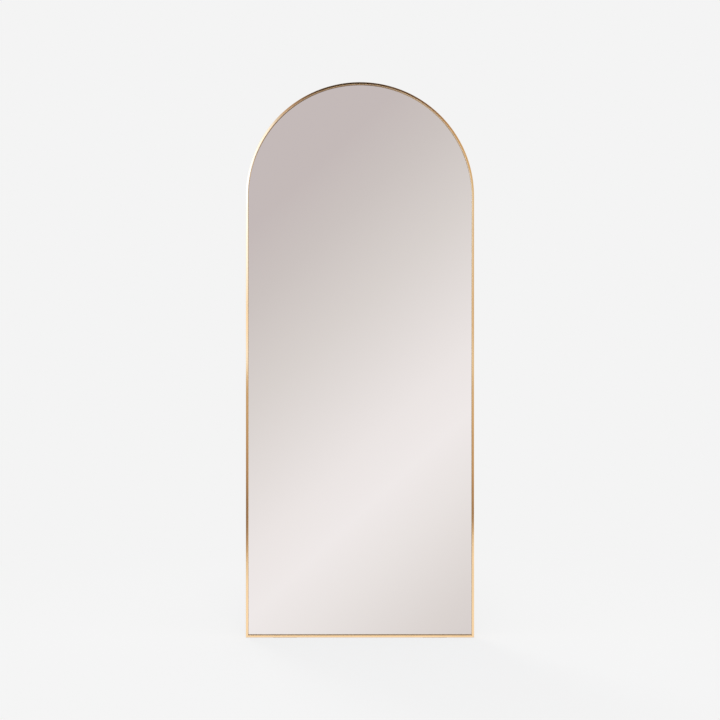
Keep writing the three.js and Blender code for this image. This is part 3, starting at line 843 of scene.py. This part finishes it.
# The middle of the strip as (inset, depth): a foot on the flange, a step down, and a toe on the board.
def clipPath():
    half = clip["thickness"] / 2
    bend = clip["bend"]
    upper, lower = rearY + half, boardRearY + half
    step = flangeWidth + clip["flangeGap"] + half
    toe = flangeWidth + clip["flangeGap"] + clip["footLength"]
    path = roundedStart((clip["outerMargin"], upper), clip["corner"], (1, 0))
    path += arc(step - bend, upper - bend, bend, 90, 0, clip["bendSteps"])
    path += arc(step + bend, lower + bend, bend, 180, 270, clip["bendSteps"])
    return path + roundedStart((toe, lower), clip["corner"], (-1, 0))[::-1]


def makeClips():
    rows = stripRows(clipPath(), lambda inset, depth: Vector((inset, depth, 0)), clip["width"] / 2,
                     clip["corner"], clip["corner"])
    mesh = stripMesh("spring clip", rows, Vector((0, 0, 1)), clip["thickness"])
    for node in sorted(name for name in cadNodes if name.startswith("retaining_clip_")):
        screwLow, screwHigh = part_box(node.replace("retaining_clip_", "clip_screw_"))
        x, z = (screwLow.x + screwHigh.x) / 2, (screwLow.z + screwHigh.z) / 2
        inward = inwardAt(x, z)
        piece = newPiece("bent_" + node, mesh)
        piece.location = (x - inward.x * clip["screwInset"], 0, z - inward.z * clip["screwInset"])
        piece.rotation_euler = (0, math.atan2(-inward.z, inward.x), 0)
        easedEdges(piece, clip["edge"])
        standIn(piece, springSteel, node)


makeClips()
print("clips made")


# hangers: a strap rolled round the bar of a D-ring
hanger = {
    "strapThickness": 0.0012, "strapCorner": 0.004, "strapEdge": 0.0002, "rollEnd": -100, "rollSteps": 36,
    "ringCorner": 0.0035, "wireSides": 20, "cornerSteps": 8, "bowSteps": 40,
}


# A flat strap with a rounded foot, whose top rolls back round the ring's bar.
def makeStrap(side):
    node = "hanger_strap_" + side
    low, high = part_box(node)
    ringLow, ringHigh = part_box("hanger_ring_" + side)
    wire = (ringHigh.y - ringLow.y) / 2
    pivotY, pivotZ = (ringHigh.y + ringLow.y) / 2, ringHigh.z - wire
    half = hanger["strapThickness"] / 2
    roll = pivotY - low.y - half
    path = roundedStart((low.y + half, low.z), hanger["strapCorner"], (0, 1))
    path += arc(pivotY, pivotZ, roll, 180, hanger["rollEnd"], hanger["rollSteps"])
    rows = stripRows(path, lambda depth, height: Vector((0, depth, height)), (high.x - low.x) / 2,
                     hanger["strapCorner"], 0)
    piece = newPiece("rolled_" + node, stripMesh("rolled strap", rows, Vector((1, 0, 0)), 2 * half))
    piece.location.x = (low.x + high.x) / 2
    easedEdges(piece, hanger["strapEdge"])
    standIn(piece, zinc, node)


# A round wire bent to a D: its bar lies in the strap's roll, and its bow hangs below.
def makeRing(side):
    node = "hanger_ring_" + side
    low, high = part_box(node)
    wire = (high.y - low.y) / 2
    corner = hanger["ringCorner"]
    bow = (high.x - low.x) / 2 - wire
    bar = bow - corner
    straight = high.z - wire - low.z - wire - corner - bow
    path = arc(bar, -corner, corner, 90, 0, hanger["cornerSteps"])
    path += arc(0, -corner - straight, bow, 0, -180, hanger["bowSteps"])
    path += arc(-bar, -corner, corner, 180, 90, hanger["cornerSteps"])
    stations = []
    length = 0
    for i, (x, z) in enumerate(path):
        before, after = path[i - 1], path[(i + 1) % len(path)]
        along = Vector((after[0] - before[0], after[1] - before[1])).normalized()
        length += math.dist(path[i], before) if i else 0
        stations.append((Vector((x, 0, z)), Vector((along.y, 0, -along.x)), length))
    length += math.dist(path[-1], path[0])
    loop = arc(0, 0, wire, 0, 360, hanger["wireSides"])[:-1]
    piece = newPiece("wire_" + node, sweptMesh("wire ring", stations, [loop], length))
    piece.location = ((low.x + high.x) / 2, (low.y + high.y) / 2, high.z - wire)
    standIn(piece, zinc, node, side + "_ring")


for side in ("left", "right"):
    makeStrap(side)
    makeRing(side)
print("hangers made")


# rubber: bumpers against the wall, pads on the floor, and blocks under the glass
rubber = {
    "pale": (0.66, 0.66, 0.64), "paleGrain": 700, "paleHeight": 0.00002,
    "black": (0.020, 0.020, 0.021), "blackGrain": 1100, "blackHeight": 0.00003,
    "bumperEdge": 0.0016, "bumperFoot": 0.0003, "bumperSides": 40, "padEdge": 0.0002, "blockEdge": 0.0003,
}


def paleRubber(tree, shader):
    grain = noiseAt(tree, objectPlace(tree), rubber["paleGrain"])
    tone = mixed(tree, grain, times(rubber["pale"], 0.92), times(rubber["pale"], 1.04))
    link(tree, shader, tone, spread(tree, grain, 0.3, 0.7, 0.42, 0.56), grain, rubber["paleHeight"])


def blackRubber(tree, shader):
    grain = noiseAt(tree, objectPlace(tree), rubber["blackGrain"])
    tone = mixed(tree, grain, times(rubber["black"], 0.8), times(rubber["black"], 1.5))
    link(tree, shader, tone, spread(tree, grain, 0.3, 0.7, 0.6, 0.78), grain, rubber["blackHeight"])


# Low round bumpers with a wide soft edge, on the rear flange.
def makeBumpers(finish):
    for node in sorted(name for name in cadNodes if name.startswith("wall_bumper_")):
        low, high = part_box(node)
        radius, height = (high.x - low.x) / 2, high.y - low.y
        foot, edge = rubber["bumperFoot"], rubber["bumperEdge"]
        profile = [(0, 0), *arc(radius - foot, foot, foot, -90, 0, 3),
                   *arc(radius - edge, height - edge, edge, 0, 90, 8), (0, height)]
        piece = newPiece("domed_" + node, turnedMesh("bumper", profile, rubber["bumperSides"]))
        piece.location = ((low.x + high.x) / 2, low.y, (low.z + high.z) / 2)
        standIn(piece, finish, node)


paleFinish = newFinish("pale rubber", paleRubber)
makeBumpers(paleFinish)
dress(paleFinish, "floor_pad_left", "floor_pad_right")
dress(newFinish("black rubber", blackRubber), "setting_block_left", "setting_block_right")
for side in ("left", "right"):
    easedEdges(cadNodes["floor_pad_" + side], rubber["padEdge"])
    easedEdges(cadNodes["setting_block_" + side], rubber["blockEdge"])
print("rubber made")
